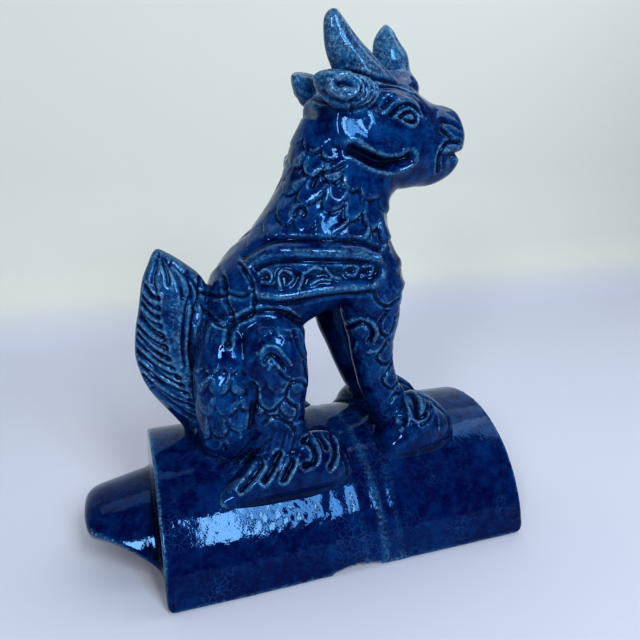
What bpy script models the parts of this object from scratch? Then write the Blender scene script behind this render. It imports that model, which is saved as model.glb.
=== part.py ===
"""Ridge beast ornament: a seated horned beast on a half-round barrel tile with a tapered tongue.

The whole is one fired and glazed piece. The frame has +X along the tile towards the beast's face, +Z up and
the origin under the middle of the piece, on the surface it stands on. Lengths are metres.

The tile has sizes of its own. The beast is free modelling: its pose, proportions and carving are written in
parts of its own height, FIGURE_PARTS to the whole, with x counted from the middle of the barrel and z from
the underside of a barrel whose crown stands SEAT_PARTS high. The near side is -Y.
"""

import math

import bmesh
import bpy
import numpy as np
from mathutils import Matrix, Vector

# Barrel tile
BARREL_LENGTH = 0.192
BARREL_WIDTH = 0.125
BARREL_HEIGHT = 0.061
BARREL_WALL = 0.013
BARREL_FACETS = 36

# Tongue that laps under the next tile
LAP_CLEARANCE = 0.007
TONGUE_LENGTH = 0.035
TONGUE_ROOT = 0.014
TONGUE_WALL = 0.009
TONGUE_ROOT_SPREAD = 80
TONGUE_TIP_SPREAD = 39
TONGUE_TIP_SCALE = 0.7
TONGUE_STRAIGHT_SHARE = 0.6
TONGUE_STEPS = 12
TONGUE_FACETS = 24
TONGUE_END_SHARE = 0.997
TONGUE_ROUNDING_POWER = 30
TONGUE_DROP_POWER = 14
TONGUE_SPREAD_POWER = 0.8
SHOULDER_STEP = 0.0005

# Beast
FIGURE_HEIGHT = 0.212
FIGURE_PARTS = 212
SEAT_PARTS = 61
FIGURE_TRIANGLES = 8450
CLAY_GRAIN_PARTS = 1.5
FAR_EAR_LIFT_PARTS = 5.5
SOFTENING_ROUNDS = 6
LOFT_SIDES = 28
LOFT_STEPS = 4
BALL_SIDES = 24
BODY_FULLNESS = 2.25
HEAD_FULLNESS = 2.2
FOOT_FULLNESS = 2.3
TAIL_FULLNESS = 1.8
CARVING_STEPS = 4
EAR_FOLDS = 3
SHARP_EDGE_DEGREES = 40
TOE_GAPS = (12, 20, 28.5)

# Glaze
GLAZE_COLOUR = (0.004, 0.022, 0.125, 1.0)
GLAZE_ROUGHNESS = 0.12
GLAZE_METALLIC = 0.0

PART = FIGURE_HEIGHT / FIGURE_PARTS
MIDDLE_X = TONGUE_LENGTH / 2


def clear_scene():
    """Empties the scene that the script starts in."""
    for old in list(bpy.data.objects):
        bpy.data.objects.remove(old, do_unlink=True)


def place(x, y, z):
    """World point of a place written in parts."""
    return Vector((MIDDLE_X + x * PART, y * PART, BARREL_HEIGHT + (z - SEAT_PARTS) * PART))


def on_barrel(x, turn, rise):
    """World point over the barrel, x and rise in parts, turn in degrees from the crown to the near side."""
    angle = math.radians(turn)
    reach_y = BARREL_WIDTH / 2 + rise * PART
    reach_z = BARREL_HEIGHT + rise * PART
    return Vector((MIDDLE_X + x * PART, -reach_y * math.sin(angle), reach_z * math.cos(angle)))


def through(rows, steps):
    """Rows of numbers on a smooth curve through the given rows, steps to each gap."""
    rows = np.array(rows, float)
    padded = np.vstack([2 * rows[0] - rows[1], rows, 2 * rows[-1] - rows[-2]])
    curve = []
    for gap in range(len(rows) - 1):
        before, start, end, after = padded[gap : gap + 4]
        for step in range(steps):
            t = step / steps
            slope_in = (end - before) / 2
            slope_out = (after - start) / 2
            curve.append(
                (2 * t**3 - 3 * t**2 + 1) * start
                + (t**3 - 2 * t**2 + t) * slope_in
                + (3 * t**2 - 2 * t**3) * end
                + (t**3 - t**2) * slope_out
            )
    curve.append(rows[-1])
    return curve


def skin(clay, rings):
    """Closes a row of rings of world points into one body in the clay."""
    rows = [[clay.verts.new(point) for point in ring] for ring in rings]
    faces = [clay.faces.new(list(reversed(rows[0]))), clay.faces.new(rows[-1])]
    count = len(rows[0])
    for low, high in zip(rows, rows[1:]):
        for i in range(count):
            j = (i + 1) % count
            faces.append(clay.faces.new((low[i], low[j], high[j], high[i])))
    bmesh.ops.recalc_face_normals(clay, faces=faces)


def oval(centre, half, across, fullness=2.0):
    """Ring of world points round a centre. A fullness over 2 squares the oval off."""
    power = 2 / fullness
    ring = []
    for i in range(LOFT_SIDES):
        angle = 2 * math.pi * i / LOFT_SIDES
        c, s = math.cos(angle), math.sin(angle)
        along = math.copysign(abs(c) ** power, c)
        side = math.copysign(abs(s) ** power, s)
        ring.append(centre + half * along + across * side)
    return ring


def loft(clay, stations, fullness=2.0, side=1):
    """Body through stations: (x, z of one edge, x, z of the opposite edge, middle y, half width)."""
    rings = []
    for ax, az, bx, bz, y, width in through(stations, LOFT_STEPS):
        edge, opposite = place(ax, side * y, az), place(bx, side * y, bz)
        across = Vector((0, max(width, 0.2) * PART, 0))
        rings.append(oval((edge + opposite) / 2, (edge - opposite) / 2, across, fullness))
    skin(clay, rings)


def limb(clay, stations, side=1):
    """Body round a line of stations, each (x, y, z, half depth along x, half width along y)."""
    rings = []
    for x, y, z, depth, width in through(stations, LOFT_STEPS):
        half, across = Vector((depth * PART, 0, 0)), Vector((0, width * PART, 0))
        rings.append(oval(place(x, side * y, z), half, across))
    skin(clay, rings)


def foot(clay, stations, side=1):
    """Body laid along the barrel.

    Each station is (x, turn in degrees, rise of its middle, half width, half height).
    """
    rings = []
    for x, turn, rise, width, height in through(stations, LOFT_STEPS):
        angle = math.radians(side * turn)
        outward = Vector((0, -math.sin(angle), math.cos(angle)))
        along_arc = Vector((0, math.cos(angle), math.sin(angle)))
        middle = on_barrel(x, side * turn, rise)
        rings.append(oval(middle, outward * height * PART, along_arc * width * PART, FOOT_FULLNESS))
    skin(clay, rings)


def ball(clay, x, y, z, radii, tilt=0.0):
    """Egg-shaped lump of clay; tilt turns it about y, in degrees."""
    scale = Matrix.Diagonal((*(r * PART for r in radii), 1))
    turn = Matrix.Rotation(math.radians(tilt), 4, "Y")
    put = Matrix.Translation(place(x, y, z)) @ turn @ scale
    bmesh.ops.create_uvsphere(clay, u_segments=BALL_SIDES, v_segments=BALL_SIDES // 2, radius=1, matrix=put)


def add_body(clay):
    """Rump, trunk and neck, station by station from the back line to the belly, chest and throat."""
    loft(
        clay,
        [
            (-68, 52, -28, 50, 0, 22),
            (-70, 66, -24, 64, 0, 28),
            (-71, 88, -22, 86, 0, 31),
            (-68, 110, -18, 107, 0, 32),
            (-63, 130, -10, 118.5, 0, 32),
            (-57, 146, 2, 123.5, 0, 32),
            (-47, 157.5, 17, 124.5, 0, 33),
            (-36, 167.5, 35, 120, 0, 33.5),
            (-29, 176, 46, 130, 0, 32.5),
            (-23, 184.5, 46.5, 143, 0, 30),
            (-18.5, 193, 41, 156, 0, 27.5),
            (-15.5, 202, 37.5, 169, 0, 25.5),
            (-12.5, 212, 39.5, 180, 0, 24),
            (-7, 224, 46, 188, 0, 22),
        ],
        fullness=BODY_FULLNESS,
    )


def add_head(clay):
    """Skull, cheeks and muzzle, station by station from nape to nose, each from its crown to its jaw."""
    loft(
        clay,
        [
            (-5, 230, 3, 204, 0, 14.5),
            (3, 239, 9, 192, 0, 22.5),
            (14, 243, 20, 187, 0, 25),
            (26, 243.5, 32, 186, 0, 24.5),
            (38, 243, 42, 186, 0, 23.5),
            (48, 240.5, 51, 186.5, 0, 21.5),
            (56, 236.5, 58, 187, 0, 18.5),
            (64, 232, 65, 188, 0, 16),
            (73, 230.5, 72, 190, 0, 14),
            (80, 227.5, 77.5, 193.5, 0, 12.5),
            (84.5, 220, 81, 200, 0, 9),
        ],
        fullness=HEAD_FULLNESS,
    )
    for side in (-1, 1):
        ball(clay, 38, side * 17, 230, (13, 6, 5), 12)


def add_horns(clay):
    """A forked pair: the near horn sweeps up and back, the far one stands further forward."""
    loft(
        clay,
        [
            (10, 232, 45, 232, -5, 11),
            (8, 240, 41.5, 241, -6, 11),
            (6.5, 246, 35, 247.5, -7, 9.5),
            (3.6, 251.5, 26.5, 254.5, -8, 8),
            (1.8, 257, 19.6, 260.3, -9, 6.6),
            (1, 263, 14, 265.5, -10, 5.2),
            (1.6, 268.5, 9.8, 269.8, -10.5, 3.8),
            (4, 271.6, 8, 272, -11, 1.5),
        ],
    )
    loft(
        clay,
        [
            (24, 232, 56, 230, 2, 13),
            (29, 241, 58.8, 239.5, 3, 13),
            (33, 249, 56.5, 248.5, 7, 9.5),
            (35.5, 257, 55, 257, 8, 7.6),
            (36.3, 263, 51, 263.5, 9, 6),
            (38.5, 268, 47.5, 269, 9.5, 4),
            (42.2, 272, 44.6, 272.2, 10, 0.8),
        ],
    )


def add_ears(clay, side):
    """One curled ear, laid back along the head from its root. The far one was set a little higher."""
    lift = FAR_EAR_LIFT_PARTS if side > 0 else 0
    shape = [
        (26.5, 233.8, 25.5, 230.5, 18.5, 2),
        (23.5, 237, 22.5, 228.2, 20.5, 5),
        (17, 239.8, 16.5, 226, 22.5, 6.8),
        (8, 242.3, 7.5, 224.6, 24, 7.6),
        (0.5, 243.2, 0.5, 226, 23, 7.5),
        (-4.5, 242.6, -4.3, 231.5, 20.5, 5.8),
        (-7.2, 241, -6.9, 236.5, 18.5, 2.5),
    ]
    loft(clay, [(ax, az + lift, bx, bz + lift, y, width) for ax, az, bx, bz, y, width in shape], side=side)


def add_tail(clay):
    """The standing flame-shaped tail, in level slices from its root on the barrel to its tip."""
    loft(
        clay,
        [
            (-71, 50, -50, 50, 0, 10),
            (-74, 57, -52, 57, 0, 11),
            (-78.5, 66, -54, 66, 0, 12.5),
            (-85, 75, -55, 75, 0, 13.5),
            (-92, 85, -56, 85, 0, 14.5),
            (-97, 95, -57, 95, 0, 15),
            (-99, 108, -58, 108, 0, 15),
            (-97.5, 122, -58, 122, 0, 14.5),
            (-95, 134, -59, 134, 0, 13),
            (-92.5, 145, -63, 145, 0, 11),
            (-90, 152, -70.5, 152, 0, 8.5),
            (-87.5, 157, -77.5, 157, 0, 5.5),
            (-85, 160, -83, 160, 0, 1.5),
        ],
        fullness=TAIL_FULLNESS,
    )


def add_hind_leg(clay, side):
    """Haunch, thigh, folded shin and the long foot that lies on the flank of the barrel."""
    limb(
        clay,
        [
            (-55, 18, 126, 8, 8),
            (-56, 20, 116, 14, 14),
            (-56, 22, 100, 17, 16.5),
            (-55.5, 22.5, 84, 18, 17),
            (-55, 21.5, 70, 17.5, 15.5),
            (-54, 19, 58, 17, 12.5),
            (-54, 16, 48, 15, 10),
        ],
        side,
    )
    limb(
        clay,
        [
            (-33.5, 25, 128, 6, 6),
            (-33, 27, 121.5, 15, 13.5),
            (-34.5, 29, 110, 17, 15.5),
            (-34.2, 30, 97, 17, 15.5),
            (-34.5, 31, 84, 15.2, 14),
            (-34, 32, 73, 14.5, 13),
            (-33, 33, 62, 15, 13),
            (-32, 33, 52, 15, 13),
        ],
        side,
    )
    foot(
        clay,
        [
            (-65.5, 45.5, 0, 2.5, 2),
            (-58, 43, 0.5, 6.5, 6),
            (-48, 39.5, 0.5, 11, 11),
            (-32, 36.5, 0.5, 14.5, 15),
            (-16, 35, 0.5, 15.5, 14.5),
            (-5, 34.5, 0, 14, 10.5),
            (2, 35, 0, 9, 4.5),
        ],
        -side,
    )


def add_fore_leg(clay, side):
    """Shoulder, straight foreleg and the paw that grips the barrel."""
    near_leg = [
        (22, 17, 136, 19, 14),
        (23.5, 17, 122, 16.5, 13),
        (24, 16.5, 109, 13.3, 12),
        (25, 16.5, 96, 11.6, 11),
        (27.5, 17, 84, 11.4, 11.2),
        (31, 18.5, 74, 11.5, 12),
        (34.5, 20, 64, 11.5, 13),
        (37, 20, 53, 11, 12),
    ]
    far_leg = [
        (22, 17, 136, 20, 14),
        (20, 17, 122, 18.5, 13),
        (20, 16.5, 109, 15, 12),
        (22.5, 16.5, 98, 13, 11),
        (26.5, 17, 86, 12, 11),
        (31.5, 18.5, 74, 11.2, 12),
        (36.5, 20, 64, 10.8, 12.5),
        (39, 20, 53, 10.5, 12),
    ]
    ball(clay, 22, side * 19, 136, (19, 14, 20))
    limb(clay, far_leg if side > 0 else near_leg, side)
    foot(
        clay,
        [
            (21.5, 31, -1, 5, 2.5),
            (25, 29, 0, 11, 6.5),
            (30, 26.5, 0, 15, 11),
            (36, 24.8, 0, 17, 15.5),
            (45, 23.5, 0, 18, 20.5),
            (51, 22.5, 0, 18.5, 18.5),
            (59, 22, 0, 17, 13),
            (65.5, 21, 0, 12.5, 7.5),
            (69, 20.5, 0, 5, 3),
        ],
        -side,
    )


def as_object(name, clay):
    """Object made from a bmesh, which it uses up."""
    mesh = bpy.data.meshes.new(name)
    clay.to_mesh(mesh)
    clay.free()
    made = bpy.data.objects.new(name, mesh)
    bpy.context.scene.collection.objects.link(made)
    return made


def settle(made):
    """Turns what an object's modifiers give into its own mesh."""
    graph = bpy.context.evaluated_depsgraph_get()
    made.data = bpy.data.meshes.new_from_object(made.evaluated_get(graph))
    made.modifiers.clear()


def fuse_clay(made):
    """Makes overlapping lumps of clay one closed skin and softens the creases between them."""
    remesh = made.modifiers.new("one skin", "REMESH")
    remesh.mode = "VOXEL"
    remesh.voxel_size = CLAY_GRAIN_PARTS * PART
    smooth = made.modifiers.new("softened", "SMOOTH")
    smooth.factor = 0.5
    smooth.iterations = SOFTENING_ROUNDS
    settle(made)


def distances(points, path):
    """Distance of each of the points to a path, all in one plane."""
    nearest = np.full(len(points), np.inf)
    for start, end in zip(path, path[1:]):
        run = end - start
        share = np.clip((points - start) @ run / max(run @ run, 1e-9), 0, 1)
        nearest = np.minimum(nearest, np.linalg.norm(points - start - share[:, None] * run, axis=1))
    return nearest


def carve(made, cuts):
    """Presses grooves into the skin along paths, or raises ridges where the depth is negative.

    Each cut is (path, half width, depth, plane, side). A "side" path is of x and z, on the near side (-1) or
    the far side (1). A "top" path is of x and y and a "front" path is of y and z.
    """
    mesh = made.data
    count = len(mesh.vertices)
    flat = np.empty(count * 3)
    mesh.vertices.foreach_get("co", flat)
    points = flat.reshape(count, 3).copy()
    mesh.vertices.foreach_get("normal", flat)
    normals = flat.reshape(count, 3).copy()
    x = (points[:, 0] - MIDDLE_X) / PART
    y = points[:, 1] / PART
    z = (points[:, 2] - BARREL_HEIGHT) / PART + SEAT_PARTS
    moved = np.zeros(count)
    for path, half_width, depth, plane, side in cuts:
        if plane == "side":
            seen, facing = np.column_stack([x, z]), np.clip(3 * side * normals[:, 1], 0, 1) * (side * y > 3)
        elif plane == "top":
            seen, facing = np.column_stack([x, y]), np.clip(3 * normals[:, 2], 0, 1)
        else:
            seen, facing = np.column_stack([y, z]), np.clip(3 * normals[:, 0], 0, 1)
        curve = np.array(through(path, CARVING_STEPS))
        weight = np.exp(-((distances(seen, curve) / half_width) ** 2))
        moved -= depth * weight * facing
    points += normals * (moved * PART)[:, None]
    mesh.vertices.foreach_set("co", points.ravel())
    mesh.update()


def face_cuts(side):
    """Mouth, lips, nostril, eye, the line under the horns and the folds of the ear of one side."""
    rows = [
        ([(11, 206.5), (17, 203.4), (25, 200.3), (31, 199.3), (38, 199.8), (43, 201.8)], 2.6, 3.8),
        ([(9.5, 203), (16, 199), (24, 195.5), (31, 194.5), (38.5, 195.2), (45, 198.5)], 2.0, -0.9),
        ([(77, 210.5), (72, 210.8), (67.5, 209.3), (64.2, 205.7), (63.2, 201), (64.5, 196)], 2.0, 2.0),
        ([(64.5, 217), (68, 215.3), (72, 212.5)], 2.0, 2.4),
        ([(27.6, 223.5), (33.3, 228.5), (38.6, 230.8), (43.9, 229.3), (50.2, 222.7)], 1.9, -1.2),
        ([(36, 222), (40, 225.3), (44.5, 225), (47, 221.8), (43.5, 218.6), (39, 219.8), (36, 222)], 1.7, 1.6),
        ([(41.4, 222.3), (42.8, 222.3)], 2.6, -2.0),
        ([(11, 243.9), (18.6, 242.3), (26, 240.5), (37, 239), (48, 236.5)], 2.0, 1.6),
    ]
    lift = FAR_EAR_LIFT_PARTS if side > 0 else 0
    rows.append(([(2, 235.8 + lift), (4.5, 236.6 + lift), (7, 236 + lift)], 2.2, 3.6))
    for i in range(EAR_FOLDS):
        wide, high = 8 + 4 * i, 6.5 + 1.5 * i
        turns = [1.1 - 0.45 * k for k in range(6)]
        fold = [(5 + wide * math.cos(t), 233.5 + lift + high * math.sin(t)) for t in turns]
        rows.append((fold, 1.6, 1.2))
    return [(path, half_width, depth, "side", side) for path, half_width, depth in rows]


def body_cuts(side):
    """The looped band, the plates on the flank, the outline of the thigh and the curls on one side."""
    band = [
        (-43, 151.5),
        (-37, 156),
        (-29, 159),
        (-21, 158.8),
        (-7, 158),
        (4, 157),
        (13, 155.5),
        (20, 153),
        (24, 148.5),
        (23, 143.5),
        (18, 140.5),
        (10, 139.8),
        (2, 140.4),
        (-8, 140),
        (-16, 139.2),
        (-24, 138.3),
        (-33, 138),
        (-42, 140),
    ]
    thigh = [(-57, 117), (-54.5, 123.5), (-48, 129), (-38, 131), (-28, 129), (-20, 122), (-17, 111)]
    rows = [
        (band, 3.0, -2.6),
        ([(-44, 155.5), (-36, 161), (-28, 164), (-16, 164), (0, 163), (12, 161.5), (23, 157)], 1.9, 1.2),
        ([(-36, 146), (-20, 147), (0, 147.5), (14, 147)], 5.0, 1.8),
        (thigh, 2.0, 1.9),
        ([(-47.5, 98), (-46.7, 92), (-48, 83.5), (-49.5, 75)], 2.0, 1.8),
        ([(-55, 151), (-54.5, 143), (-55, 136), (-53, 129.5)], 1.7, 1.2),
        ([(-65, 145), (-66, 137), (-64.5, 130), (-60.5, 125.5)], 1.7, 1.2),
        ([(-66, 138.5), (-60, 136.5), (-55.5, 138)], 1.7, 1.1),
        ([(-46, 97), (-46, 89), (-43, 85), (-39, 85), (-36, 88), (-33, 90), (-30, 87), (-27, 85)], 1.6, 1.0),
        ([(8, 116), (11.5, 118), (15, 116.6), (16.4, 113)], 1.8, 1.4),
    ]
    return [(path, half_width, depth, "side", side) for path, half_width, depth in rows]


def foot_cuts(side):
    """The slanting slots at the heel of the hind foot and its curled toes, on one side."""
    rows = [
        ([(-56.5, 49.5), (-51.9, 53.4), (-46.2, 58.6)], 1.8, 2.0),
        ([(-46, 52.6), (-41.7, 57.5), (-37.2, 62.5)], 1.8, 2.4),
        ([(-36.8, 52.1), (-34.5, 55.5), (-31.5, 58.9)], 1.8, 2.4),
        ([(-24, 66), (-20.7, 64.6), (-19.2, 60.8), (-21, 57.5), (-25.7, 56.8)], 1.8, 2.2),
        ([(-17, 67.5), (-13.4, 65.5), (-12.3, 61.5)], 1.7, 1.6),
        ([(-11.5, 66.5), (-7, 62), (-8.3, 57.4), (-12.3, 53.4)], 1.8, 2.0),
    ]
    return [(path, half_width, depth, "side", side) for path, half_width, depth in rows]


def paw_cuts(side):
    """Grooves between the toes of one forepaw."""
    rows = []
    for y in TOE_GAPS:
        gap = [(50, side * y), (58, side * y * 1.03), (69, side * y)]
        rows.append((gap, 1.9, 2.2, "top", side))
    return rows


def tail_cuts(side):
    """The tail's broad midrib, the veins between it and the rear margin, and those of the tip."""
    veins = [
        [(-86, 137), (-89.3, 138.5), (-92.5, 144)],
        [(-87, 128), (-91.5, 130.5), (-96, 137)],
        [(-85.6, 119), (-91.8, 123), (-98, 131)],
        [(-83.5, 107), (-91.5, 112.5), (-99.5, 122)],
        [(-79.5, 97), (-89.5, 103.5), (-99.5, 114)],
        [(-76, 88), (-87.3, 95), (-98.5, 106)],
        [(-72.5, 80), (-84.3, 87), (-96, 98)],
        [(-69, 72), (-80.5, 79), (-92, 90)],
    ]
    rows = [
        ([(-78.5, 140), (-78.8, 128), (-78, 117), (-76.5, 105), (-72, 93), (-67.5, 81)], 6.0, -0.9),
        ([(-67.3, 134.6), (-70.5, 126), (-72, 118), (-73.1, 110.9), (-72.5, 100.6)], 1.8, 1.5),
        ([(-84.4, 159), (-85.6, 153), (-87.8, 145.6), (-86, 137)], 1.7, 1.2),
        ([(-81.8, 157), (-76, 146), (-74.6, 136.6)], 1.7, 1.2),
        ([(-76, 152), (-69.5, 144), (-68.5, 131)], 1.7, 1.2),
    ]
    rows += [(vein, 1.8, 1.7) for vein in veins]
    return [(path, half_width, depth, "side", side) for path, half_width, depth in rows]


def modelled_beast():
    """The beast as one carved skin."""
    clay = bmesh.new()
    add_body(clay)
    add_head(clay)
    add_horns(clay)
    add_tail(clay)
    for side in (-1, 1):
        add_ears(clay, side)
        add_hind_leg(clay, side)
        add_fore_leg(clay, side)
    beast = as_object("ridge_beast", clay)
    fuse_clay(beast)
    cuts = [([(-13, 204), (0, 204.5), (13, 204)], 2.2, 3.2, "front", 1)]
    for side in (-1, 1):
        cuts += face_cuts(side) + body_cuts(side) + foot_cuts(side) + paw_cuts(side) + tail_cuts(side)
    carve(beast, cuts)
    return beast


def half_round(x, width, crown, foot_z):
    """Half-round section across the tile. Its two feet stand at foot_z."""
    ring = [Vector((x, -width / 2, foot_z))]
    for i in range(1, BARREL_FACETS):
        angle = math.pi * i / BARREL_FACETS
        ring.append(Vector((x, -width / 2 * math.cos(angle), crown * math.sin(angle))))
    ring.append(Vector((x, width / 2, foot_z)))
    return ring


def barrel_body():
    """The barrel, still solid."""
    clay = bmesh.new()
    ends = (MIDDLE_X - BARREL_LENGTH / 2, MIDDLE_X + BARREL_LENGTH / 2)
    skin(clay, [half_round(x, BARREL_WIDTH, BARREL_HEIGHT, 0) for x in ends])
    return as_object("barrel", clay)


def tongue_outside():
    """Half width and crown height of the tongue where it leaves the barrel, to fit the next tile's bore."""
    inset = BARREL_WALL + LAP_CLEARANCE
    return BARREL_WIDTH / 2 - inset, BARREL_HEIGHT - inset


def hollow_cutter():
    """The space under the barrel, open below and at both ends, narrower behind the tongue's shoulder."""
    clay = bmesh.new()
    end = MIDDLE_X - BARREL_LENGTH / 2
    past = MIDDLE_X + BARREL_LENGTH / 2 + BARREL_WALL
    bore = (BARREL_WIDTH - 2 * BARREL_WALL, BARREL_HEIGHT - BARREL_WALL, -BARREL_WALL)
    half_width, crown = tongue_outside()
    inset = TONGUE_WALL + SHOULDER_STEP
    neck = (2 * (half_width - inset), crown - inset, -BARREL_WALL)
    rings = [half_round(past, *bore), half_round(end + TONGUE_ROOT, *bore)]
    rings += [half_round(end + TONGUE_ROOT - TONGUE_WALL / 2, *neck), half_round(end - BARREL_WALL, *neck)]
    skin(clay, rings)
    return as_object("hollow", clay)


def tongue_body():
    """The tongue: a shell that narrows and drops towards its blunt tip, rooted in the barrel's end."""
    clay = bmesh.new()
    end = MIDDLE_X - BARREL_LENGTH / 2
    half_width, crown = tongue_outside()
    rings = []
    for step in range(-1, TONGUE_STEPS + 1):
        share = math.sin(math.pi / 2 * max(step, 0) / TONGUE_STEPS) * TONGUE_END_SHARE
        x = end + TONGUE_ROOT / 4 if step < 0 else end - TONGUE_LENGTH * share
        narrowing = TONGUE_ROOT_SPREAD + (TONGUE_TIP_SPREAD - TONGUE_ROOT_SPREAD) * share**TONGUE_SPREAD_POWER
        spread = math.radians(narrowing) * math.sqrt(1 - share**TONGUE_ROUNDING_POWER)
        drop = TONGUE_STRAIGHT_SHARE * share + (1 - TONGUE_STRAIGHT_SHARE) * share**TONGUE_DROP_POWER
        scale = 1 - (1 - TONGUE_TIP_SCALE) * drop
        ring = []
        for inset in (0, TONGUE_WALL):
            arc = []
            for i in range(TONGUE_FACETS + 1):
                angle = spread * (2 * i / TONGUE_FACETS - 1)
                y = (half_width * scale - inset) * math.sin(angle)
                arc.append(Vector((x, y, (crown * scale - inset) * math.cos(angle))))
            ring += arc if inset == 0 else reversed(arc)
        rings.append(ring)
    skin(clay, rings)
    return as_object("tongue", clay)


def boolean(made, operation, other):
    """Joins or cuts with another object, which is then only a helper."""
    step = made.modifiers.new(f"{operation} {other.name}", "BOOLEAN")
    step.operation = operation
    step.solver = "EXACT"
    step.object = other
    other.hide_render = True
    other.display_type = "WIRE"


def thin_faces(made, wanted):
    """Brings an object down to about the wanted count of triangles."""
    made.data.calc_loop_triangles()
    thin = made.modifiers.new("fewer faces", "DECIMATE")
    thin.ratio = min(1.0, wanted / len(made.data.loop_triangles))
    thin.use_collapse_triangulate = True
    settle(made)


def glaze():
    """The deep blue glaze, as one plain colour."""
    material = bpy.data.materials.new("cobalt_glaze")
    material.use_nodes = True
    shader = material.node_tree.nodes["Principled BSDF"]
    shader.inputs["Base Color"].default_value = GLAZE_COLOUR
    shader.inputs["Roughness"].default_value = GLAZE_ROUGHNESS
    shader.inputs["Metallic"].default_value = GLAZE_METALLIC
    return material


def build():
    """Models, carves and joins the ornament."""
    clear_scene()
    beast = modelled_beast()
    thin_faces(beast, FIGURE_TRIANGLES)
    boolean(beast, "UNION", barrel_body())
    boolean(beast, "DIFFERENCE", hollow_cutter())
    boolean(beast, "UNION", tongue_body())
    settle(beast)
    beast.data.materials.clear()
    beast.data.materials.append(glaze())
    beast.data.shade_smooth()
    beast.data.set_sharp_from_angle(angle=math.radians(SHARP_EDGE_DEGREES))


build()
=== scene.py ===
import math

import bmesh
import bpy
import numpy as np
from mathutils import Matrix, Vector
from mathutils.kdtree import KDTree


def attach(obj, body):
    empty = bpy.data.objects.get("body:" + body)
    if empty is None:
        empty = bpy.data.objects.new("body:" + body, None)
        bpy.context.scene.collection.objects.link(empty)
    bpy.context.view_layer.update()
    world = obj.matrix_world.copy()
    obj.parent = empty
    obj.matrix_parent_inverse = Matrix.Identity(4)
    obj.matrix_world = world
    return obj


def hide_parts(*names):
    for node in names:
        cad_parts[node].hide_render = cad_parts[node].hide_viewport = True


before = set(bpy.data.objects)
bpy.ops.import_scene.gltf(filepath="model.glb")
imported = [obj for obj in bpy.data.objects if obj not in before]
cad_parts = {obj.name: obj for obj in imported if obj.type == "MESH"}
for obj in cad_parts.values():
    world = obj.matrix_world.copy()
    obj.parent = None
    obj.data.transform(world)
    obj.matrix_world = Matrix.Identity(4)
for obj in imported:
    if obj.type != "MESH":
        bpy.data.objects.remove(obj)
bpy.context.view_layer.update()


# The view: the eye is a little higher than the beast's back, level with the tail along the tile, and looks
# down at the beast's right side.
EYE = Vector((-0.08617388, -0.30538518, 0.19398323))
YAW, PITCH, ROLL = math.radians(18.84079), math.radians(13.57095), math.radians(-0.88211375)
FOCAL_SHARE = 596.176 / 640

look = Vector((math.sin(YAW) * math.cos(PITCH), math.cos(YAW) * math.cos(PITCH), -math.sin(PITCH)))
level = Vector((math.cos(YAW), -math.sin(YAW), 0))
raised = level.cross(look)
rightward = math.cos(ROLL) * level + math.sin(ROLL) * raised
upward = -math.sin(ROLL) * level + math.cos(ROLL) * raised
lens = bpy.data.cameras.new("eye")
lens.sensor_width = 36
lens.lens = FOCAL_SHARE * lens.sensor_width
lens.clip_start = 0.01
camera = bpy.data.objects.new("eye", lens)
turned = Matrix((rightward, upward, -look)).transposed().to_4x4()
turned.translation = EYE
camera.matrix_world = turned
bpy.context.scene.collection.objects.link(camera)
bpy.context.scene.camera = camera


# The beast: solid legs, horns, ears and tail on a hollow-moulded body, modelled by hand in stoneware and
# luted onto the leather-hard tile with slip. Its scales, band and feathering are cut and laid on.
# Its sizes and places are millimetres from the middle of the tile's foot line.
MM = 0.001
TILE_MIDDLE = 0.0175
TILE_HALF_WIDTH = 62.5
TILE_CROWN = 61
BEAST_GRAIN = 0.8
BEAST_SOFTENING = 12
BEAST_TRIANGLES = 192000
CURVE_STEPS = 6
OVAL_POINTS = 40
FOOT_FULLNESS = 2.3
FAR_EAR_LIFT = 5.5
TOE_GAPS = (12, 20, 28.5)
LIP_SHARE = 0.16
TOE_GAP_DEPTH = 2.6
LIP_LINE_DEPTH = 3.4
UNEVENNESS = 0.26
SLIP_FILLET = 1.6
SEAT_DEPTH = 7


def place(x, y, z):
    """World point of millimetres from the tile's middle."""
    return Vector((TILE_MIDDLE + x * MM, y * MM, z * MM))


def on_tile(x, turn, rise):
    """World point over the tile, turned in degrees from the crown towards the near side."""
    angle = math.radians(turn)
    y = -(TILE_HALF_WIDTH + rise) * math.sin(angle)
    return place(x, y, (TILE_CROWN + rise) * math.cos(angle))


def through(rows, steps):
    """Rows of numbers on a smooth curve through the given rows, steps to each gap."""
    rows = np.array(rows, float)
    padded = np.vstack([2 * rows[0] - rows[1], rows, 2 * rows[-1] - rows[-2]])
    curve = []
    for gap in range(len(rows) - 1):
        before, start, end, after = padded[gap : gap + 4]
        for step in range(steps):
            t = step / steps
            curve.append(
                (2 * t**3 - 3 * t**2 + 1) * start
                + (t**3 - 2 * t**2 + t) * (end - before) / 2
                + (3 * t**2 - 2 * t**3) * end
                + (t**3 - t**2) * (after - start) / 2
            )
    curve.append(rows[-1])
    return curve


def skin(clay, rings):
    """Closes a row of rings of world points into one body."""
    rows = [[clay.verts.new(point) for point in ring] for ring in rings]
    faces = [clay.faces.new(list(reversed(rows[0]))), clay.faces.new(rows[-1])]
    count = len(rows[0])
    for low, high in zip(rows, rows[1:]):
        for i in range(count):
            j = (i + 1) % count
            faces.append(clay.faces.new((low[i], low[j], high[j], high[i])))
    bmesh.ops.recalc_face_normals(clay, faces=faces)


def oval(centre, half, across, fullness=2.0):
    """Ring of points round a centre. A fullness over 2 squares the oval off."""
    ring = []
    for i in range(OVAL_POINTS):
        c, s = math.cos(2 * math.pi * i / OVAL_POINTS), math.sin(2 * math.pi * i / OVAL_POINTS)
        along = math.copysign(abs(c) ** (2 / fullness), c)
        side = math.copysign(abs(s) ** (2 / fullness), s)
        ring.append(centre + half * along + across * side)
    return ring


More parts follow.
